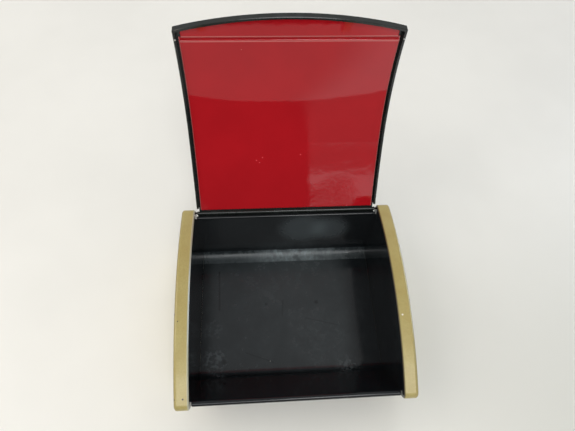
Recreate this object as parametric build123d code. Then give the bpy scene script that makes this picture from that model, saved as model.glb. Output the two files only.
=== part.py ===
from build123d import *

import os
from math import asin, atan2, cos, degrees, dist, radians, sin, sqrt, tan

# A hinged paint box of enamelled sheet steel: a folded tray between two pressed, painted end caps,
# and a curved lid that swings on a full-width pin. X runs left to right, Y front to back, Z up.
# The origin is on the table, below the middle of the tray's floor. The lid is built standing open.

# Sheet and wire, mm
tray_sheet = 0.6
cap_sheet = 0.5
panel_sheet = 0.6
lid_sheet = 0.5
wire_clearance = 0.05

# Tray: its floor lies on the table
inner_width = 120.0
floor_length = 86.9
front_rim_height = 37.6     # floor to the middle of the rolled front rim
front_lean = 27.85          # of the front wall, degrees from upright
front_bend_radius = 7.0
front_bead_radius = 1.6
back_rim_height = 46.5
back_lean = 4.2
back_bend_radius = 6.0
back_bead_radius = 1.25
bead_end_gap = 0.7          # from the end of a rolled rim to the end panel
bead_end_bevel = 0.4

# Hinge
hinge_behind_rim = 2.12
hinge_above_rim = 2.74
pin_radius = 0.7
pin_running_clearance = 0.05
pin_head_radius = 1.0
pin_head_thickness = 0.5
barrel_radius = 1.2
barrel_end_gap = 1.3
leaf_length = 8.0
stop_gap = 0.3

# End caps
cap_width = 8.4
cap_crown_radius = 155.5    # of the arched top edge
cap_crown_y = 3.2           # where that edge is highest
cap_above_pin = 3.375       # pin axis up to that edge
cap_behind_pin = 2.0        # pin axis to the cap's back edge
cap_front_margin = 4.3      # front wall's inner face to the cap's front edge
cap_nose_radius = 4.0
cap_hinge_corner_radius = 4.0
cap_front_foot_radius = 10.0
cap_back_foot_radius = 9.0
cap_outer_round = 1.8
cap_rim_bevel = 0.6
cap_mouth_inset = 0.75      # width of the rim turned in round the mouth
panel_seat_clearance = 0.05

# Lid
lid_side_clearance = 1.3
lid_depth = 3.6             # free edge of the rim to the outer face
lid_rim = 1.3               # folded rim's thickness
lid_rim_bevel = 0.3
lid_outer_bevel = 0.5
rim_above_pin = 1.9         # free edge of the rim over the pin's axis
rear_curve_length = 47.8
rear_curve_radius = 502.0
front_curve_radius = 160.4
lid_length = 127.6          # along the free edge, hinge to the middle of the bowed front
lid_bow_radius = 226.3
lid_corner_radius = 0.8
rim_start = 4.2             # from the hinge to the end of the side rims
stop_lip_length = 4.0
solder_from_corner = 5.5    # where the ends of the folded front rim are soldered to the side rims
solder_radius = 0.6
solder_sink = 0.35

# Lid linings
lining_depth = 1.6          # below the free edge of the rim
lining_round = 0.9          # of the edges along the groove
lining_bevel = 0.4          # of the sides and the bowed front
lining_start = 2.1
crease_from_front = 13.8    # middle of the groove between the two linings
crease_gap = 1.0
main_side_gap = 1.0
lip_side_gap = 2.2
lip_front_gap = 0.7

# How far a cutting shape runs past what it cuts, and how closely an edge's depth must match
past = 2.0
depth_match = 0.05

half_inner = inner_width / 2
lid_half = half_inner - lid_side_clearance
lining_base = lid_depth - lid_sheet
crease = lid_length - crease_from_front
corner_drop = lid_bow_radius - sqrt(lid_bow_radius ** 2 - lid_half ** 2)


def wall_top(lean, height, bead_radius, side):
    """A wall's inner face where it meets the rolled rim, and the middle of that rim."""
    along = (height + bead_radius * sin(radians(lean))) / cos(radians(lean))
    corner_y = side * floor_length / 2
    inner = (corner_y + side * along * sin(radians(lean)), tray_sheet + along * cos(radians(lean)))
    bead = (
        inner[0] + side * bead_radius * cos(radians(lean)),
        inner[1] - bead_radius * sin(radians(lean)),
    )
    return inner, bead


front_wall_top, front_bead = wall_top(front_lean, front_rim_height, front_bead_radius, -1)
back_wall_top, back_bead = wall_top(back_lean, back_rim_height, back_bead_radius, 1)
hinge = (back_bead[0] + hinge_behind_rim, back_bead[1] + hinge_above_rim)


def lid_open_tangent():
    """Direction of the lid at its hinge when its rear lip lies against the back rim, in degrees."""
    to_bead = degrees(atan2(back_bead[1] - hinge[1], back_bead[0] - hinge[0]))
    reach = back_bead_radius + stop_gap - barrel_radius
    return to_bead + 180 + degrees(asin(reach / dist(hinge, back_bead)))


def span(face, x0, x1):
    """A side-view face carried from x0 to x1."""
    return extrude(Plane.YZ.offset(x0) * face, amount=x1 - x0)


def tube_span(centre, radius, x0, x1):
    return span(Pos(*centre) * Circle(radius), x0, x1)


def rounded(face, place, radius):
    """A face with the corner nearest to a place rounded."""
    corner = face.vertices().sort_by(lambda v: dist((v.X, v.Y), place))[0]
    return fillet(corner, radius)


# ---- Tray ----

def tray():
    floor_front = (-floor_length / 2, tray_sheet)
    floor_back = (floor_length / 2, tray_sheet)
    hollow = make_face(Polyline(front_wall_top, floor_front, floor_back, back_wall_top, close=True))
    hollow = rounded(hollow, floor_front, front_bend_radius)
    hollow = rounded(hollow, floor_back, back_bend_radius)
    mouth = make_face(
        Polyline(
            (-floor_length, front_wall_top[1]),
            front_wall_top,
            back_wall_top,
            (floor_length, back_wall_top[1]),
            (floor_length, 2 * back_wall_top[1]),
            (-floor_length, 2 * back_wall_top[1]),
            close=True,
        )
    )
    body = span(offset(hollow, tray_sheet) - hollow - mouth, -half_inner, half_inner)
    for centre, radius in ((front_bead, front_bead_radius), (back_bead, back_bead_radius)):
        body += rolled_rim(centre, radius)
    for centre, radius in ((front_bead, front_bead_radius), (back_bead, back_bead_radius)):
        body -= tube_span(centre, radius - tray_sheet, -half_inner, half_inner)
    return body


def rolled_rim(centre, radius):
    half = half_inner - bead_end_gap
    rim = tube_span(centre, radius, -half, half)
    return chamfer(rim.edges().filter_by(GeomType.CIRCLE), bead_end_bevel)


def rim_wire(centre, radius):
    half = half_inner - bead_end_gap
    return tube_span(centre, radius - tray_sheet - wire_clearance, -half, half)


# ---- End caps and the panels that close them ----

def cap_outline():
    """Side view of a cap: arched top, leaning front, and a back edge just behind the pin."""
    reach = 2 * floor_length
    slope_f = -tan(radians(front_lean))
    slope_b = tan(radians(back_lean))
    foot_f = -floor_length / 2 - slope_f * tray_sheet - cap_front_margin / cos(radians(front_lean))
    foot_b = hinge[0] - slope_b * hinge[1] + cap_behind_pin / cos(radians(back_lean))
    sides = make_face(
        Polyline(
            (foot_f, 0),
            (foot_b, 0),
            (foot_b + slope_b * reach, reach),
            (foot_f + slope_f * reach, reach),
            close=True,
        )
    )
    crown_rise = sqrt(cap_crown_radius ** 2 - (hinge[0] - cap_crown_y) ** 2)
    outline = sides & Pos(cap_crown_y, hinge[1] + cap_above_pin - crown_rise) * Circle(cap_crown_radius)
    corners = outline.vertices().sort_by(Axis.Y)
    feet = corners[:2].sort_by(Axis.X)
    tops = corners[2:].sort_by(Axis.X)
    rounds = [
        (feet[0], cap_front_foot_radius),
        (feet[1], cap_back_foot_radius),
        (tops[0], cap_nose_radius),
        (tops[1], cap_hinge_corner_radius),
    ]
    places = [((corner.X, corner.Y), radius) for corner, radius in rounds]
    for place, radius in places:
        outline = rounded(outline, place, radius)
    return outline


def inset(face, amount):
    return offset(face, -amount)


def end_cap(outline):
    """Right-hand cap: a hollow pressing whose rim turns in round the mouth."""
    cap = span(outline, half_inner, half_inner + cap_width)
    outer_face = cap.faces().sort_by(Axis.X)[-1]
    cap = fillet(outer_face.edges(), cap_outer_round)
    rim_face = cap.faces().sort_by(Axis.X)[0]
    cap = chamfer(rim_face.edges(), cap_rim_bevel)
    inside = span(inset(outline, cap_sheet), half_inner + cap_sheet, half_inner + cap_width - cap_sheet)
    far_face = inside.faces().sort_by(Axis.X)[-1]
    inside = chamfer(far_face.edges(), cap_outer_round - cap_sheet)
    mouth = span(inset(outline, cap_mouth_inset), half_inner, half_inner + cap_sheet)
    return cap - inside - mouth


def end_panel(outline):
    """Right-hand panel: flush in the cap's mouth, its joggled edge caught behind the cap's rim."""
    seat = half_inner + cap_sheet
    face_edge = inset(outline, cap_mouth_inset + panel_seat_clearance)
    joggle_edge = inset(outline, cap_mouth_inset + panel_seat_clearance + panel_sheet)
    flange_edge = inset(outline, cap_sheet + panel_seat_clearance)
    panel = span(face_edge, half_inner, seat + panel_sheet)
    panel += span(flange_edge, seat, seat + panel_sheet)
    panel -= span(joggle_edge, half_inner + panel_sheet, seat + panel_sheet)
    return panel - tube_span(hinge, pin_radius, half_inner, seat + panel_sheet)


def hinge_pin():
    head_face = half_inner + cap_sheet + panel_sheet
    end = head_face + pin_head_thickness
    pin = tube_span(hinge, pin_radius, -end, end)
    for x in (-end, head_face):
        pin += tube_span(hinge, pin_head_radius, x, x + pin_head_thickness)
    return pin


# ---- Lid, laid back flat with its lined face up and the hinge pin's axis on the origin ----

rear_angle = rear_curve_length / rear_curve_radius
rear_centre = (0.0, rim_above_pin + rear_curve_radius)
front_centre = (
    (rear_curve_radius - front_curve_radius) * sin(rear_angle),
    rear_centre[1] - (rear_curve_radius - front_curve_radius) * cos(rear_angle),
)


def lid_angle(s):
    """Slope of the lid, in radians, at s along its free edge from the hinge."""
    if s <= 0:
        return 0.0
    if s <= rear_curve_length:
        return s / rear_curve_radius
    return rear_angle + (s - rear_curve_length) / front_curve_radius


def lid_point(s, depth):
    """The point s along the lid and depth below its free edge, as (Y, Z)."""
    if s <= 0:
        return s, rim_above_pin - depth
    if s <= rear_curve_length:
        centre, radius = rear_centre, rear_curve_radius
    else:
        centre, radius = front_centre, front_curve_radius
    angle = lid_angle(s)
    return centre[0] + (radius + depth) * sin(angle), centre[1] - (radius + depth) * cos(angle)


def depth_of(point):
    """How far below the free edge a point of the lid lies."""
    if atan2(point.Y, rear_centre[1] - point.Z) < rear_angle:
        return dist((point.Y, point.Z), rear_centre) - rear_curve_radius
    return dist((point.Y, point.Z), front_centre) - front_curve_radius


def lid_band(s0, s1, depth0, depth1):
    """Side view of the lid's thickness from depth0 to depth1 and from s0 to s1."""
    stops = [s0] + [s for s in (0.0, rear_curve_length) if s0 < s < s1] + [s1]
    edges = []
    for depth in (depth0, depth1):
        for a, b in zip(stops, stops[1:]):
            if b <= 0:
                edges.append(Line(lid_point(a, depth), lid_point(b, depth)))
            else:
                middle = lid_point((a + b) / 2, depth)
                edges.append(ThreePointArc(lid_point(a, depth), middle, lid_point(b, depth)))
    for s in (s0, s1):
        edges.append(Line(lid_point(s, depth0), lid_point(s, depth1)))
    return make_face(edges)


def lid_layer(s0, s1, depth0, depth1, half):
    return span(lid_band(s0, s1, depth0, depth1), -half, half)


def lip_plane():
    """Plane square to the lid at the middle of its bowed front edge."""
    y, z = lid_point(lid_length, 0)
    angle = lid_angle(lid_length)
    return Plane(origin=(0, y, z), x_dir=(1, 0, 0), z_dir=(0, -sin(angle), cos(angle)))


def plan_prism(half, front_back):
    """Everything within half of the middle and front_back behind the lid's bowed front edge."""
    disc = Pos(0, -lid_bow_radius) * Circle(lid_bow_radius - front_back)
    block = Pos(0, -lid_length / 2) * Rectangle(2 * half, 2 * lid_length)
    outline = disc & block
    front = outline.vertices().sort_by(Axis.Y)[-2:]
    outline = fillet(front, lid_corner_radius)
    return extrude(lip_plane() * outline, amount=lid_length / 2, both=True)


def edges_at(shape, depth):
    """The edges of a lid piece that lie at one depth below the free edge."""
    return shape.edges().filter_by(lambda edge: abs(depth_of(edge.position_at(0.5)) - depth) < depth_match)


def lid_skin():
    """Curved sheet with a folded rim on three sides and a lip behind the hinge that stops it."""
    past_front = lid_length + past
    skin = lid_layer(rim_start, past_front, 0, lid_depth, lid_half)
    skin &= plan_prism(lid_half, 0)
    skin = chamfer(edges_at(skin, lid_depth), lid_outer_bevel)
    skin = chamfer(edges_at(skin, 0).filter_by(GeomType.LINE, reverse=True), lid_rim_bevel)
    hollow = lid_layer(rim_start - past, past_front, -past, lining_base, lid_half)
    skin -= hollow & plan_prism(lid_half - lid_rim, lid_rim)
    skin += lid_layer(0, rim_start + leaf_length, lining_base, lid_depth, lid_half - lid_rim)
    return skin + lid_layer(-stop_lip_length, 0, lining_base, lid_depth, lid_half)


def corner_solder(skin):
    """A dot of solder on each side rim, where the front rim's folded end stops."""
    y, z = lid_point(lid_length - corner_drop - solder_from_corner, solder_sink)
    x = lid_half - (lid_rim + lid_rim_bevel) / 2
    dots = [Pos(side * x, y, z) * Sphere(solder_radius) - skin for side in (-1, 1)]
    return Compound(children=[dot.solids().sort_by(Axis.Z)[-1] for dot in dots])


def hinge_barrel():
    """Rolled tube round the pin, with a leaf that lies on the lid's sheet."""
    half = half_inner - barrel_end_gap
    barrel = tube_span((0, 0), barrel_radius, -half, half)
    barrel += lid_layer(0, leaf_length, lining_base - lid_sheet, lining_base, lid_half - lid_rim)
    return barrel - tube_span((0, 0), pin_radius + pin_running_clearance, -half, half)


def lining(s0, s1, half, front_back):
    """A shallow pressed pan standing on the lid's sheet."""
    outer = lid_layer(s0, s1, lining_depth, lining_base, half)
    outer &= plan_prism(half, front_back)
    outer = fillet(edges_at(outer, lining_depth).filter_by(Axis.X), lining_round)
    outer = chamfer(edges_at(outer, lining_depth), lining_bevel)
    hollow = lid_layer(s0 + lid_sheet, s1 - lid_sheet, lining_depth + lid_sheet, lid_depth, half)
    hollow &= plan_prism(half - lid_sheet, front_back + lid_sheet)
    return outer - hollow


def main_lining():
    """Pan over most of the lid, its front flange the floor of the groove before the lip lining."""
    half = lid_half - lid_rim - main_side_gap
    groove_start = crease - crease_gap / 2
    groove_end = crease + crease_gap / 2
    flange_top = lining_base - lid_sheet
    pan = lining(lining_start, groove_start, half, 0)
    pan += lid_layer(groove_start - lid_sheet, groove_end, flange_top, lining_base, half)
    return pan - lid_layer(0, leaf_length, lining_base - lid_sheet, lid_depth, half + past)


def lip_lining():
    half = lid_half - lid_rim - lip_side_gap
    return lining(crease + crease_gap / 2, lid_length, half, lid_rim + lip_front_gap)


def opened(shape):
    """Carries a piece of the lid from flat to where it stands open on the box."""
    return Pos(0, *hinge) * Rot(lid_open_tangent(), 0, 0) * shape


def build():
    outline = cap_outline()
    right_cap = end_cap(outline)
    right_panel = end_panel(outline)
    skin = lid_skin()
    return {
        "tray": tray(),
        "front_rim_wire": rim_wire(front_bead, front_bead_radius),
        "back_rim_wire": rim_wire(back_bead, back_bead_radius),
        "right_end_cap": right_cap,
        "left_end_cap": mirror(right_cap, Plane.YZ),
        "right_end_panel": right_panel,
        "left_end_panel": mirror(right_panel, Plane.YZ),
        "hinge_pin": hinge_pin(),
        "lid_skin": opened(skin),
        "lid_corner_solder": opened(corner_solder(skin)),
        "hinge_barrel": opened(hinge_barrel()),
        "main_lining": opened(main_lining()),
        "lip_lining": opened(lip_lining()),
    }


os.makedirs("parts", exist_ok=True)
for name, shape in build().items():
    export_step(shape, f"parts/{name}.step")
print("hinge axis", [round(v, 3) for v in hinge], "lid tangent", round(lid_open_tangent(), 2))
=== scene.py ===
import math
import bpy
from mathutils import Matrix, Vector


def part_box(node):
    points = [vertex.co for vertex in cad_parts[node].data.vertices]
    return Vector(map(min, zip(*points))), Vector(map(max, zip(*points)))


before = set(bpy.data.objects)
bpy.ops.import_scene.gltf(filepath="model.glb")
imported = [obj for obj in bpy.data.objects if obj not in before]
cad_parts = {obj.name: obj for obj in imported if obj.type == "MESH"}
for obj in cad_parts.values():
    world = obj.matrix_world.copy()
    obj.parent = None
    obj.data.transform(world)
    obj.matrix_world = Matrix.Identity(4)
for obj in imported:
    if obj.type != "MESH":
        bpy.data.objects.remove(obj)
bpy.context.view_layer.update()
print("frame loaded")

mm = 0.001
mathNode, vectorNode = "ShaderNodeMath", "ShaderNodeVectorMath"
nodeKinds = {                                      # what each kind is in Blender, and what is fixed on it
    "place": ("ShaderNodeTexCoord", {}),
    "split": ("ShaderNodeSeparateXYZ", {}),
    "noise": ("ShaderNodeTexNoise", {}),
    "cells": ("ShaderNodeTexVoronoi", {}),
    "bump": ("ShaderNodeBump", {}),
    "shader": ("ShaderNodeBsdfPrincipled", {}),
    "glow": ("ShaderNodeEmission", {}),
    "out": ("ShaderNodeOutputMaterial", {}),
    "fade": ("ShaderNodeMapRange", {"interpolation_type": "SMOOTHSTEP"}),
    "run": ("ShaderNodeMapRange", {}),
    "mix": ("ShaderNodeMix", {"data_type": "RGBA"}),
    "times": (mathNode, {"operation": "MULTIPLY"}),
    "plus": (mathNode, {"operation": "ADD", "use_clamp": True}),       # held between 0 and 1
    "sum": (mathNode, {"operation": "ADD"}),
    "rest": (mathNode, {"operation": "SUBTRACT"}),
    "size": (mathNode, {"operation": "ABSOLUTE"}),
    "under": (mathNode, {"operation": "LESS_THAN"}),
    "over": (mathNode, {"operation": "GREATER_THAN"}),
    "atLeast": (mathNode, {"operation": "MAXIMUM"}),
    "atMost": (mathNode, {"operation": "MINIMUM"}),
    "scale": (vectorNode, {"operation": "SCALE"}),
    "stretch": (vectorNode, {"operation": "MULTIPLY"}),
    "shift": (vectorNode, {"operation": "SUBTRACT"}),
    "along": (vectorNode, {"operation": "DOT_PRODUCT"}),
    "away": (vectorNode, {"operation": "DISTANCE"}),
}
mixAmount, mixUnder, mixOver = 0, 6, 7             # sockets of a colour mix, whose names aren't theirs alone
noiseRoughness = 0.6
strokeCore = 0.3                                   # share of a stroke's width that is solid


def linearColour(hexText):
    parts = [int(hexText[i:i + 2], 16) / 255 for i in (1, 3, 5)]
    return [p / 12.92 if p <= 0.04045 else ((p + 0.055) / 1.055) ** 2.4 for p in parts] + [1.0]


# A setting is a number, a hex colour, a vector, or the node or socket that it comes from
def addNode(tree, kind, settings):
    blenderName, fixed = nodeKinds[kind]
    node = tree.nodes.new(blenderName)
    for name, value in fixed.items():
        setattr(node, name, value)
    for name, value in settings.items():
        if isinstance(value, bpy.types.Node):
            value = next(socket for socket in value.outputs if socket.enabled)
        if isinstance(value, bpy.types.NodeSocket):
            tree.links.new(value, node.inputs[name])
        else:
            node.inputs[name].default_value = linearColour(value) if isinstance(value, str) else value
    return node


def blankMaterial(name):
    material = bpy.data.materials.new(name)
    material.use_nodes = True
    tree = material.node_tree
    tree.nodes.clear()
    place = addNode(tree, "scale", {0: addNode(tree, "place", {}).outputs["Object"], "Scale": 1 / mm})
    return material, tree, place                   # the place is in millimetres


# A cloudy pattern of 0 to 1 in patches about size mm across: noise under low is 0, and noise over high is 1
def mottle(tree, place, size, low, high, detail=4, stretch=(1, 1, 1)):
    stretched = addNode(tree, "stretch", {0: place, 1: stretch})
    settings = {"Vector": stretched, "Scale": 1 / size, "Detail": detail, "Roughness": noiseRoughness}
    noise = addNode(tree, "noise", settings)
    return addNode(tree, "fade", {"Value": noise, "From Min": low, "From Max": high})


def patch(tree, place, centre, radius, soft):      # 1 within radius mm of a centre, fading out over soft mm
    distance = addNode(tree, "away", {0: place, 1: centre})
    fading = {"From Min": radius, "From Max": radius + soft, "To Min": 1.0, "To Max": 0.0}
    return addNode(tree, "fade", {"Value": distance, **fading})


def stroke(tree, place, start, end, width):        # 1 on a straight line between two points, width mm wide
    along = (Vector(end) - Vector(start)).normalized()
    offset = addNode(tree, "shift", {0: place, 1: start})
    reach = addNode(tree, "atLeast", {0: addNode(tree, "along", {0: offset, 1: along}), 1: 0.0})
    reach = addNode(tree, "atMost", {0: reach, 1: (Vector(end) - Vector(start)).length})
    foot = addNode(tree, "scale", {0: along, "Scale": reach})
    distance = addNode(tree, "away", {0: offset, 1: foot})
    fading = {"From Min": width * strokeCore, "From Max": width, "To Min": 1.0, "To Max": 0.0}
    return addNode(tree, "run", {"Value": distance, **fading})


def ridge(tree, value, middle, half):              # 1 where a value is at middle, fading out over half
    off = addNode(tree, "size", {0: addNode(tree, "rest", {0: value, 1: middle})})
    fading = {"From Min": 0.0, "From Max": half, "To Min": 1.0, "To Max": 0.0}
    return addNode(tree, "fade", {"Value": off, **fading})


# 1 on crumbs width mm across, in a share of the cells that lie spacing mm apart
def specks(tree, place, spacing, width, share):
    cells = addNode(tree, "cells", {"Vector": place, "Scale": 1 / spacing})
    small = addNode(tree, "under", {0: cells.outputs["Distance"], 1: width / spacing / 2})
    chosen = addNode(tree, "under", {0: addNode(tree, "split", {0: cells.outputs["Color"]}), 1: share})
    return addNode(tree, "times", {0: small, 1: chosen})


def together(tree, first, firstShare, second, secondShare):    # two patterns added, each by its share
    firstPart = addNode(tree, "times", {0: first, 1: firstShare})
    secondPart = addNode(tree, "times", {0: second, 1: secondShare})
    return addNode(tree, "plus", {0: firstPart, 1: secondPart})


def paintOver(tree, colour, shade, where, strength):   # a shade over a colour where a pattern is 1
    amount = addNode(tree, "times", {0: where, 1: strength})
    return addNode(tree, "mix", {mixUnder: colour, mixOver: shade, mixAmount: amount})


def surface(tree, colour, roughness, height, depth, settings):     # a height of 1 stands depth mm proud
    bump = addNode(tree, "bump", {"Height": height, "Distance": depth * mm})
    look = {"Base Color": colour, "Roughness": roughness, "Normal": bump, **settings}
    addNode(tree, "out", {"Surface": addNode(tree, "shader", look)})


# In the settings of a finish, a mottle is its size in mm, its low, its high, its detail and its stretch.

# Black stove enamel, sprayed on sheet steel and baked: near black and glossy, with a faint orange peel
# under a film of dust
blackEnamel = {
    "colour": "#101417", "dustColour": "#7f8b90", "dust": 0.05, "ior": 1.5,
    "cloud": (30.0, 0.35, 0.7), "film": (6.0, 0.3, 0.75, 6), "peel": (1.1, 0.2, 0.8, 2),
    "gloss": 0.10, "dull": 0.45, "dustDulls": 3.0, "filmDulls": 0.25,
    "peelDepth": 0.008, "peelShare": 0.6, "filmShare": 0.4,
    "crumbSize": 0.45, "crumbSpacing": 15.0, "crumbShare": 0.25, "crumbColour": "#b9bab6",
}


def stoveEnamel(name, s, addDustAndSheen=None):
    material, tree, place = blankMaterial(name)
    cloud = mottle(tree, place, *s["cloud"])
    film = mottle(tree, place, *s["film"])
    dust = addNode(tree, "times", {0: addNode(tree, "times", {0: cloud, 1: film}), 1: s["dust"]})
    if addDustAndSheen:
        dust = addDustAndSheen(tree, place, dust, film)
    colour = addNode(tree, "mix", {mixUnder: s["colour"], mixOver: s["dustColour"], mixAmount: dust})
    crumbs = specks(tree, place, s["crumbSpacing"], s["crumbSize"], s["crumbShare"])
    colour = addNode(tree, "mix", {mixUnder: colour, mixOver: s["crumbColour"], mixAmount: crumbs})
    smear = together(tree, dust, s["dustDulls"], film, s["filmDulls"])
    roughness = addNode(tree, "run", {"Value": smear, "To Min": s["gloss"], "To Max": s["dull"]})
    peel = mottle(tree, place, *s["peel"])
    height = together(tree, peel, s["peelShare"], film, s["filmShare"])
    surface(tree, colour, roughness, height, s["peelDepth"], {"IOR": s["ior"]})
    return material


# What lies on the tray's enamel: settled dust on the floor, dust and a painted highlight in the rear bend,
# rubs in the corners, haze and a painted reflection on the back wall, scuffs, wiped spots and scratches.
# Lengths and places are in mm, and the first three put the middle of the sheet, which parts its inside from
# its outside.
trayDustAndSheen = {
    "wallLean": 0.0734, "wallMiddle": 43.7, "floorMiddle": 0.3,
    "floorTop": 3.5, "floorFull": 0.7, "floorEnd": 57.0, "floorFade": 16.0, "floorShift": 7.0,
    "grime": (14.0, 0.3, 0.7, 8), "filmLeast": 0.5, "thin": 0.078, "thick": 0.122,
    # the rear bend's dust also stands in for a painted highlight along the bend
    "bendAt": (40.0, 1.0), "bendHalf": 5.0, "bendFull": 0.85, "bendHighlightSpan": (8.0, 46.0),
    "bendGrain": (2.2, 0.30, 0.66, 8, (1, 0.5, 0.5)), "bendGrainLeast": 0.45,
    "bendLeast": 0.15, "bendMost": 1.0, "ragged": (2.4, 0.42, 0.62, 6),
    "rubs": [                                      # centre, radius, fade and amount
        ((-50.4, -34, 1), 2, 10, 0.22), ((-47, -46, 4), 1, 6, 0.16), ((38, -43, 1), 2, 9, 0.16),
        ((31, -48, 4), 1, 6, 0.10), ((-52, -14, 1), 1, 10, 0.08), ((20, -20, 1), 6, 18, 0.03),
        ((-20, 10, 1), 6, 18, 0.02),
    ],
    # the first two lie on the back wall and paint a reflection there
    "hazeAndReflection": [
        ((12, 46, 32), 8, 14, 0.24), ((30, 46, 31), 6, 12, 0.22), ((-40, 46, 35), 4, 30, 0.02),
        ((0, 30, 1), 10, 28, 0.03),
    ],
    "wiped": [
        ((20.1, 3.1, 0.6), 0.5, 1.6, 0.8), ((-15.4, 3.1, 0.6), 0.4, 1.0, 0.8),
        ((-44.5, -35.3, 0.6), 0.8, 1.8, 0.8),
    ],
    "scratches": [                                 # start, end, width and amount
        ((-48.3, 28.7, 0.6), (-47.9, 0.2, 0.6), 0.8, 0.8), ((-3.3, 5.6, 0.6), (-4.4, -6, 0.6), 0.6, 0.6),
        ((-30, -30, 0.6), (-12, -37, 0.6), 0.5, 0.5), ((12, -8, 0.6), (34, -14, 0.6), 0.5, 0.5),
    ],
    "scuffs": [
        ((6, 46, 20), (34, 46, 37), 0.5, 0.10), ((2, 45, 26), (20, 46, 32), 0.4, 0.08),
        ((-40, -67, 38), (-25, -67, 38), 1.2, 0.10), ((-56, 45, 30), (-50, 44, 10), 0.4, 0.05),
        ((20, -36, 0.6), (42, -20, 0.6), 0.4, 0.04),
    ],
}


# Lays more of the dust colour; in the tray it also paints the bend's highlight and the back wall's reflection
def layDustAndSheen(tree, dust, where, amount):            # more dust where a pattern is 1
    return addNode(tree, "plus", {0: dust, 1: addNode(tree, "times", {0: where, 1: amount})})


def wipeDust(tree, dust, where, amount):           # less dust where a pattern is 1
    kept = addNode(tree, "run", {"Value": where, "To Min": 1.0, "To Max": 1 - amount})
    return addNode(tree, "times", {0: dust, 1: kept})


def layTrayDustAndSheen(tree, place, dust, film):
    d = trayDustAndSheen
    bare = dust
    axes = addNode(tree, "split", {0: place}).outputs
    low = addNode(tree, "fade", {"Value": axes[2], "From Min": d["floorTop"], "From Max": d["floorFull"]})
    sideways = addNode(tree, "size", {0: addNode(tree, "sum", {0: axes[0], 1: d["floorShift"]})})
    floorStart = d["floorEnd"] - d["floorFade"]
    onFloor = addNode(tree, "fade", {"Value": sideways, "From Min": d["floorEnd"], "From Max": floorStart})
    grime = mottle(tree, place, *d["grime"])
    filmPart = addNode(tree, "run", {"Value": film, "To Min": d["filmLeast"], "To Max": 1.0})
    blotch = addNode(tree, "times", {0: grime, 1: filmPart})
    layer = addNode(tree, "run", {"Value": blotch, "To Min": d["thin"], "To Max": d["thick"]})
    dust = layDustAndSheen(tree, dust, addNode(tree, "times", {0: low, 1: onFloor}), layer)

    # Dust in the rear bend, brightest across the middle, which also paints the bend's highlight
    flat = addNode(tree, "stretch", {0: place, 1: (0, 1, 1)})
    fromBend = addNode(tree, "away", {0: flat, 1: (0, *d["bendAt"])})
    bendFull = d["bendHalf"] * d["bendFull"]
    bend = addNode(tree, "fade", {"Value": fromBend, "From Min": d["bendHalf"], "From Max": bendFull})
    bendGrain = mottle(tree, place, *d["bendGrain"])
    bendGrain = addNode(tree, "run", {"Value": bendGrain, "To Min": d["bendGrainLeast"]})
    bend = addNode(tree, "times", {0: bend, 1: bendGrain})
    bendHighlight = addNode(tree, "times", {0: ridge(tree, axes[0], *d["bendHighlightSpan"]), 1: film})
    bendDustAndHighlight = addNode(tree, "run", {"Value": bendHighlight, "To Min": d["bendLeast"], "To Max": d["bendMost"]})
    dust = layDustAndSheen(tree, dust, bend, bendDustAndHighlight)

    ragged = mottle(tree, place, *d["ragged"])
    for centre, radius, soft, amount in d["rubs"]:
        rub = addNode(tree, "times", {0: patch(tree, place, centre, radius, soft), 1: ragged})
        dust = layDustAndSheen(tree, dust, rub, amount)
    # haze patches, the two on the back wall painting a reflection
    for centre, radius, soft, amount in d["hazeAndReflection"]:
        dust = layDustAndSheen(tree, dust, patch(tree, place, centre, radius, soft), amount)
    for start, end, width, amount in d["scuffs"]:
        scuff = addNode(tree, "times", {0: stroke(tree, place, start, end, width), 1: ragged})
        dust = layDustAndSheen(tree, dust, scuff, amount)
    for centre, radius, soft, amount in d["wiped"]:
        dust = wipeDust(tree, dust, patch(tree, place, centre, radius, soft), amount)
    for start, end, width, amount in d["scratches"]:
        dust = wipeDust(tree, dust, stroke(tree, place, start, end, width), amount)

    acrossWall = addNode(tree, "along", {0: place, 1: (0, 1, -d["wallLean"])})
    inFront = addNode(tree, "under", {0: acrossWall, 1: d["wallMiddle"]})
    above = addNode(tree, "over", {0: axes[2], 1: d["floorMiddle"]})
    within = addNode(tree, "times", {0: inFront, 1: above})
    outsideDust = addNode(tree, "times", {0: bare, 1: addNode(tree, "rest", {0: 1.0, 1: within})})
    return addNode(tree, "plus", {0: addNode(tree, "times", {0: dust, 1: within}), 1: outsideDust})


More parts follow.
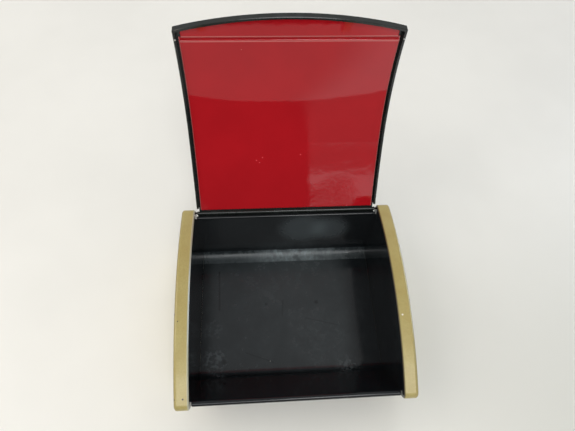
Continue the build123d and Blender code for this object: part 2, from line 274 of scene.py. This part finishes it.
# Pale gold paint, sprayed on pressed steel: satin and faintly mottled, chipped on its edges, with painted
# highlights on the front noses, brown grime and painted shade in the right cap's seam, and a painted
# highlight along the left cap's inner edge
goldPaint = {
    "colour": "#a9985b", "pale": "#b3a66b", "deep": "#9a8d4f", "paleShare": 0.7, "deepShare": 0.5,
    "broad": (9.0, 0.3, 0.7, 5), "grain": (0.8, 0.3, 0.7, 3), "broadHeight": 0.5, "grainHeight": 0.5,
    "gloss": 0.30, "dull": 0.42, "lacquer": 0.35, "lacquerRoughness": 0.1, "ior": 1.5, "peelDepth": 0.012,
    # grime is the brown of grime and painted shade in the right cap's seam
    "mouth": 60.0, "seamWidth": 1.0, "grime": "#2a2013", "seamShadeStrength": 0.95,
    # a pale bluish painted highlight along the left cap's inner edge
    "innerEdgeHighlight": "#b8c0b6", "innerHighlightStart": 0.4, "innerHighlightEnd": 1.3, "innerHighlightStrength": 0.6,
    "outerFace": 68.0, "outlineHalf": 0.35, "outline": "#5a4d36", "outlineStrength": 0.5,
    "markCore": 0.6, "markSoft": 0.8, "markGrain": (0.6, 1.6), "markEdge": (0.35, 0.6),
    "chipsAndHighlights": [
        ((-68.2, -19.8, 58), 0.5, "#3a3126"), ((-66.1, -23.9, 58), 0.35, "#3a3126"),
        ((-63.2, -63.6, 45.4), 0.5, "#3a3126"), ((-68.0, -63.5, 44.8), 0.5, "#3a3126"),
        ((62.5, -25.5, 57.8), 0.5, "#e8e6dd"), ((68.2, -17, 58.5), 0.5, "#4a4232"),
        # the two cream spots next lie on the front noses and are painted highlights; the others are chips
        ((66.5, -63.5, 45), 0.4, "#e8e2c8"), ((-68.3, -66, 42), 0.5, "#e8e2c8"),
    ],
}


def sprayedGold(name, s):
    material, tree, place = blankMaterial(name)
    broad = mottle(tree, place, *s["broad"])
    grain = mottle(tree, place, *s["grain"])
    colour = paintOver(tree, s["colour"], s["pale"], broad, s["paleShare"])
    colour = paintOver(tree, colour, s["deep"], grain, s["deepShare"])
    across = addNode(tree, "split", {0: place})
    onRight = addNode(tree, "over", {0: across, 1: 0.0})
    onLeft = addNode(tree, "rest", {0: 1.0, 1: onRight})
    # brown grime and painted shade in the right cap's seam
    fading = {"From Min": s["mouth"] + s["seamWidth"], "From Max": s["mouth"], "To Max": s["seamShadeStrength"]}
    seamShade = addNode(tree, "fade", {"Value": across, **fading})
    colour = paintOver(tree, colour, s["grime"], seamShade, onRight)
    # painted highlight along the left cap's inner edge
    innerHighlightEnds = {"From Min": -s["mouth"] - s["innerHighlightEnd"], "From Max": -s["mouth"] - s["innerHighlightStart"]}
    innerEdgeHighlight = addNode(tree, "fade", {"Value": across, **innerHighlightEnds, "To Max": s["innerHighlightStrength"]})
    colour = paintOver(tree, colour, s["innerEdgeHighlight"], innerEdgeHighlight, onLeft)
    outer = ridge(tree, addNode(tree, "size", {0: across}), s["outerFace"], s["outlineHalf"])
    colour = paintOver(tree, colour, s["outline"], outer, s["outlineStrength"])
    grainLeast, grainMost = s["markGrain"]
    markStart, markFull = s["markEdge"]
    # chips, and painted highlights on the front noses
    for centre, radius, shade in s["chipsAndHighlights"]:
        near = patch(tree, place, centre, radius * s["markCore"], radius * s["markSoft"])
        rough = addNode(tree, "run", {"Value": grain, "To Min": grainLeast, "To Max": grainMost})
        ragged = addNode(tree, "times", {0: near, 1: rough})
        mark = addNode(tree, "fade", {"Value": ragged, "From Min": markStart, "From Max": markFull})
        colour = addNode(tree, "mix", {mixUnder: colour, mixOver: shade, mixAmount: mark})
    roughness = addNode(tree, "run", {"Value": grain, "To Min": s["gloss"], "To Max": s["dull"]})
    height = together(tree, grain, s["grainHeight"], broad, s["broadHeight"])
    lacquer = {"Coat Weight": s["lacquer"], "Coat Roughness": s["lacquerRoughness"]}
    surface(tree, colour, roughness, height, s["peelDepth"], {"IOR": s["ior"], **lacquer})
    return material


# Red gloss enamel, poured thick and baked: deep colour under a wet shine, swells that bend what it
# reflects, and a pale painted highlight along its side edges and beside the groove
redEnamel = {
    "colour": "#b3151f", "deep": "#a9121c", "deepShare": 0.6, "gloss": 0.02, "dull": 0.04, "ior": 1.5,
    "cloud": (28.0, 0.3, 0.7, 3), "peel": (1.3, 0.2, 0.8, 2), "swell": (7.0, 0.2, 0.8, 1),
    "peelDepth": 0.007, "peelShare": 0.15, "swellShare": 0.85,
    "rippleAt": (34, 53, 56), "rippleReach": (8.0, 16.0), "ripple": (2.6, 0.2, 0.8, 2), "ripples": 3.0,
    "speckColour": "#d98a86", "speckSize": 0.5, "speckSpacing": 26.0, "speckShare": 0.2, "speckStrength": 0.6,
    "spotColour": "#f0606a", "spotSize": (0.2, 0.4), "spotStrength": 0.7,
    "spots": [
        (-17.3, 67.7, 80.8), (-15.4, 69.3, 83.8), (-19.2, 68.4, 82.1), (39.7, 51.5, 52.4), (8.1, 70.0, 85.1),
    ],
    # thin is the pale pink of the painted highlight along the edges
    "thin": "#cf7a78", "edgeHighlightStrength": 0.8, "edgeWidth": 0.6, "grooveWidth": 1.9,
    "sideEdge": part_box("main_lining")[1][0] / mm, "groove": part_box("lip_lining")[0][2] / mm,
}


def pouredRed(name, s):
    material, tree, place = blankMaterial(name)
    cloud = mottle(tree, place, *s["cloud"])
    colour = paintOver(tree, s["colour"], s["deep"], cloud, s["deepShare"])
    crumbs = specks(tree, place, s["speckSpacing"], s["speckSize"], s["speckShare"])
    colour = paintOver(tree, colour, s["speckColour"], crumbs, s["speckStrength"])
    for centre in s["spots"]:
        spot = patch(tree, place, centre, *s["spotSize"])
        colour = paintOver(tree, colour, s["spotColour"], spot, s["spotStrength"])
    axes = addNode(tree, "split", {0: place}).outputs
    # a painted highlight along the side edges and on both sides of the groove
    edgeStart = s["sideEdge"] - s["edgeWidth"]
    edgeFull = s["sideEdge"] - s["edgeWidth"] / 2
    edgeHighlight = addNode(tree, "size", {0: axes[0]})
    edgeHighlight = addNode(tree, "fade", {"Value": edgeHighlight, "From Min": edgeStart, "From Max": edgeFull})
    aboveGroove = s["groove"] + 1.5 * s["edgeWidth"]
    belowGroove = s["groove"] - s["grooveWidth"]
    for height in (aboveGroove, belowGroove):
        edgeHighlight = addNode(tree, "atLeast", {0: edgeHighlight, 1: ridge(tree, axes[2], height, s["edgeWidth"])})
    colour = paintOver(tree, colour, s["thin"], edgeHighlight, s["edgeHighlightStrength"])
    roughness = addNode(tree, "run", {"Value": cloud, "To Min": s["gloss"], "To Max": s["dull"]})
    peel = mottle(tree, place, *s["peel"])
    swell = mottle(tree, place, *s["swell"])
    height = together(tree, peel, s["peelShare"], swell, s["swellShare"])
    rippled = patch(tree, place, s["rippleAt"], *s["rippleReach"])
    ripple = addNode(tree, "times", {0: rippled, 1: mottle(tree, place, *s["ripple"])})
    height = addNode(tree, "sum", {0: height, 1: addNode(tree, "times", {0: ripple, 1: s["ripples"]})})
    surface(tree, colour, roughness, height, s["peelDepth"], {"IOR": s["ior"]})
    return material


# Drawn steel wire, browned and dull from handling, and tin solder, a paler and smoother bare metal
steelWire = {
    "colour": "#4c413a", "tarnish": "#2a221d", "gloss": 0.6, "dull": 0.8, "depth": 0.004,
    "grain": (0.4, 0.3, 0.7, 4, (0.05, 1, 1)),
}
tinSolder = {
    "colour": "#c9c9c4", "tarnish": "#96968f", "gloss": 0.3, "dull": 0.5, "depth": 0.02,
    "grain": (0.3, 0.3, 0.7),
}


def bareMetal(name, s):
    material, tree, place = blankMaterial(name)
    grain = mottle(tree, place, *s["grain"])
    roughness = addNode(tree, "run", {"Value": grain, "To Min": s["gloss"], "To Max": s["dull"]})
    colour = addNode(tree, "mix", {mixUnder: s["colour"], mixOver: s["tarnish"], mixAmount: grain})
    surface(tree, colour, roughness, grain, s["depth"], {"Metallic": 1.0})
    return material


trayEnamel = {**blackEnamel, "ior": 1.45, "dust": 0.02, "gloss": 0.07}
trayFinish = stoveEnamel("blackStoveEnamelTray", trayEnamel, layTrayDustAndSheen)
panelFinish = stoveEnamel("blackStoveEnamelPanel", {**blackEnamel, "ior": 1.4})
caseFinish = stoveEnamel("blackStoveEnamelCase", blackEnamel)
lidFinish = stoveEnamel("blackStoveEnamelLid", {**blackEnamel, "colour": "#181c1a", "dust": 0.07})
capFinish = sprayedGold("paleGoldPaint", goldPaint)
liningFinish = pouredRed("redGlossEnamel", redEnamel)
wireFinish = bareMetal("drawnSteelWire", steelWire)
solderFinish = bareMetal("tinSolder", tinSolder)

finishes = {
    "tray": trayFinish, "right_end_panel": panelFinish, "left_end_panel": panelFinish,
    "lid_skin": lidFinish, "hinge_barrel": lidFinish, "right_end_cap": capFinish, "left_end_cap": capFinish,
    "main_lining": liningFinish, "lip_lining": liningFinish, "front_rim_wire": caseFinish,
    "back_rim_wire": caseFinish, "hinge_pin": wireFinish, "lid_corner_solder": solderFinish,
}
for nodeName, material in finishes.items():
    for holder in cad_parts[nodeName].material_slots:
        holder.material = material
print("finishes on")

studio = {
    "table": {
        # the darker patch on the right is a painted shadow
        "size": 6.0, "colour": "#edede9", "shade": "#e8e8e4", "paintedShadow": "#d6d7d1", "paintedShadowAt": (230, -110, 0),
        "paintedShadowReach": (30.0, 200.0), "cloud": (140.0, 0.3, 0.7, 3), "fine": (0.8, 0.3, 0.7, 2),
        "gloss": 0.5, "dull": 0.6, "depth": 0.01, "ior": 1.45,
    },
    "sky": {"colour": "#ffffff", "strength": 0.52},
    "lamps": [                                     # a lamp that isn't mirrored lights, but shows in no gloss
        {"name": "leftLamp", "place": (-0.85, 0.0, 0.9), "size": (0.8, 0.8), "power": 4.7,
         "colour": "#fff4e6", "mirrored": True},
        {"name": "backLamp", "place": (0.1, 0.95, 0.9), "size": (0.8, 0.5), "power": 2.6,
         "colour": "#ffffff", "mirrored": False},
        {"name": "ceilingPanel", "place": (0.06, -0.62, 1.05), "size": (0.4, 0.6), "power": 4.2,
         "colour": "#fffffa", "mirrored": False},
    ],
    "aim": (0.0, 0.0, 0.05),
}


def level(x0, x1, y0, y1, z):                      # corners of a level rectangle, in metres
    return [(x0, y0, z), (x1, y0, z), (x1, y1, z), (x0, y1, z)]


def upright(x0, x1, y, z0, z1):                    # corners of an upright rectangle that faces the box
    return [(x0, y, z0), (x1, y, z0), (x1, y, z1), (x0, y, z1)]


def oneColour(colour):
    return {"left": colour, "right": colour, "lean": 0.0, "turnsAt": (0.0, 1.0)}


# The table in front of the box, as a sheet whose far edge is bowed
bow = {"middle": 0.02, "step": 0.0276, "rise": 0.00276, "tip": 0.385, "above": 0.002}
bowedTable = [
    (bow["middle"] + bow["step"] * t, bow["rise"] * t * t - bow["tip"], bow["above"]) for t in range(-10, 11)
]
roomShades = {"left": "#474746", "right": "#9c9a97", "lean": 0.112}

# Sheets that only gloss sees, for the room that the enamel mirrors. Each turns from its left colour to its
# right one between two places in mm. Lean is how many metres that turn moves to the right for each metre
# that the sheet runs out in front of the box.
reflections = [
    {"name": "nearTable", "corners": bowedTable, "left": "#c0beba", "right": "#ffffff", "lean": -0.2,
     "turnsAt": (96.0, 176.0), "glow": 1.1},
    {"name": "darkFloor", "corners": level(-9, 9, -10, -0.3, 0.001), **roomShades,
     "turnsAt": (5.0, 35.0), "glow": 1.0},
    {"name": "farWall", "corners": upright(-12, 12, -10.05, -1, 5), **roomShades,
     "turnsAt": (-40.0, 120.0), "glow": 1.0},
    {"name": "lowWindow", "corners": upright(1.14, 2.13, -10, 0.392, 0.475),
     **oneColour("#eef0f2"), "glow": 1.7},
    {"name": "tallWindow", "corners": upright(2.13, 3.2, -10, 0.392, 0.75),
     **oneColour("#eef0f2"), "glow": 1.4},
    {"name": "overhead", "corners": level(0.05, 0.36, -0.75, -0.5, 1.3),
     **oneColour("#ffffff"), "glow": 9.0},
    {"name": "brightCeiling", "corners": level(-0.7, 0.8, -1.6, -0.8, 1.3),
     **oneColour("#ffffff"), "glow": 4.0},
    {"name": "sideWindow", **oneColour("#c4e0ff"), "glow": 7.0,
     "corners": [(0.9, -0.1, 0.04), (0.9, 0.6, 0.04), (0.9, 0.6, 0.4), (0.9, -0.1, 0.4)]},
]


def tableSurface(s):                               # pale laminate, matt, with a darker area on the right
    material, tree, place = blankMaterial("paleLaminate")
    cloud = mottle(tree, place, *s["cloud"])
    fine = mottle(tree, place, *s["fine"])
    roughness = addNode(tree, "run", {"Value": fine, "To Min": s["gloss"], "To Max": s["dull"]})
    # painted shadow over the right of the table
    paintedShadow = patch(tree, place, s["paintedShadowAt"], *s["paintedShadowReach"])
    colour = addNode(tree, "mix", {mixUnder: s["colour"], mixOver: s["shade"], mixAmount: cloud})
    colour = addNode(tree, "mix", {mixUnder: colour, mixOver: s["paintedShadow"], mixAmount: paintedShadow})
    surface(tree, colour, roughness, fine, s["depth"], {"IOR": s["ior"]})
    half = s["size"] / 2
    stageSheet("table", material, level(-half, half, -half, half, 0))


def stageSheet(name, material, corners):
    mesh = bpy.data.meshes.new(name)
    mesh.from_pydata(corners, [], [range(len(corners))])
    mesh.materials.append(material)
    sheet = bpy.data.objects.new(name, mesh)
    bpy.context.collection.objects.link(sheet)
    return sheet


def studioLamps(s):
    world = bpy.data.worlds.new("studioSky")
    world.use_nodes = True
    background = world.node_tree.nodes["Background"]
    background.inputs["Color"].default_value = linearColour(s["sky"]["colour"])
    background.inputs["Strength"].default_value = s["sky"]["strength"]
    bpy.context.scene.world = world
    for lamp in s["lamps"]:
        data = bpy.data.lights.new(lamp["name"], "AREA")
        data.shape = "RECTANGLE"
        data.size, data.size_y = lamp["size"]
        data.energy = lamp["power"]
        data.color = linearColour(lamp["colour"])[:3]
        holder = bpy.data.objects.new(lamp["name"], data)
        holder.location = lamp["place"]
        aim = Vector(s["aim"]) - Vector(lamp["place"])
        holder.rotation_euler = aim.to_track_quat("-Z", "Y").to_euler()
        holder.visible_glossy = lamp["mirrored"]
        bpy.context.collection.objects.link(holder)


def glossSheets(sheets):
    for sheet in sheets:
        material, tree, place = blankMaterial(sheet["name"])
        start, end = sheet["turnsAt"]
        across = addNode(tree, "along", {0: place, 1: (1, sheet["lean"], 0)})
        turn = addNode(tree, "fade", {"Value": across, "From Min": start, "From Max": end})
        colour = addNode(tree, "mix", {mixUnder: sheet["left"], mixOver: sheet["right"], mixAmount: turn})
        addNode(tree, "out", {"Surface": addNode(tree, "glow", {"Color": colour, "Strength": sheet["glow"]})})
        holder = stageSheet(sheet["name"], material, sheet["corners"])
        holder.visible_camera = False
        holder.visible_diffuse = False
        holder.visible_shadow = False
        holder.visible_transmission = False


tableSurface(studio["table"])
studioLamps(studio)
glossSheets(reflections)
print("studio ready")

viewpoint = {"place": (-19.43, -102.0, 318.07), "turn": -7.520, "tilt": 29.205, "roll": 4.893, "lens": 29.15}
cameraData = bpy.data.cameras.new("camera")
cameraData.lens = viewpoint["lens"]
cameraData.sensor_width = 36.0
cameraData.clip_start = 0.01
camera = bpy.data.objects.new("camera", cameraData)
turns = [
    Matrix.Rotation(math.radians(viewpoint[key]), 4, axis)
    for key, axis in (("turn", "Z"), ("tilt", "X"), ("roll", "Z"))
]
camera.matrix_world = Matrix.Translation(Vector(viewpoint["place"]) * mm) @ turns[0] @ turns[1] @ turns[2]
bpy.context.collection.objects.link(camera)
bpy.context.scene.camera = camera
bpy.context.scene.view_settings.view_transform = "Standard"
print("camera set")
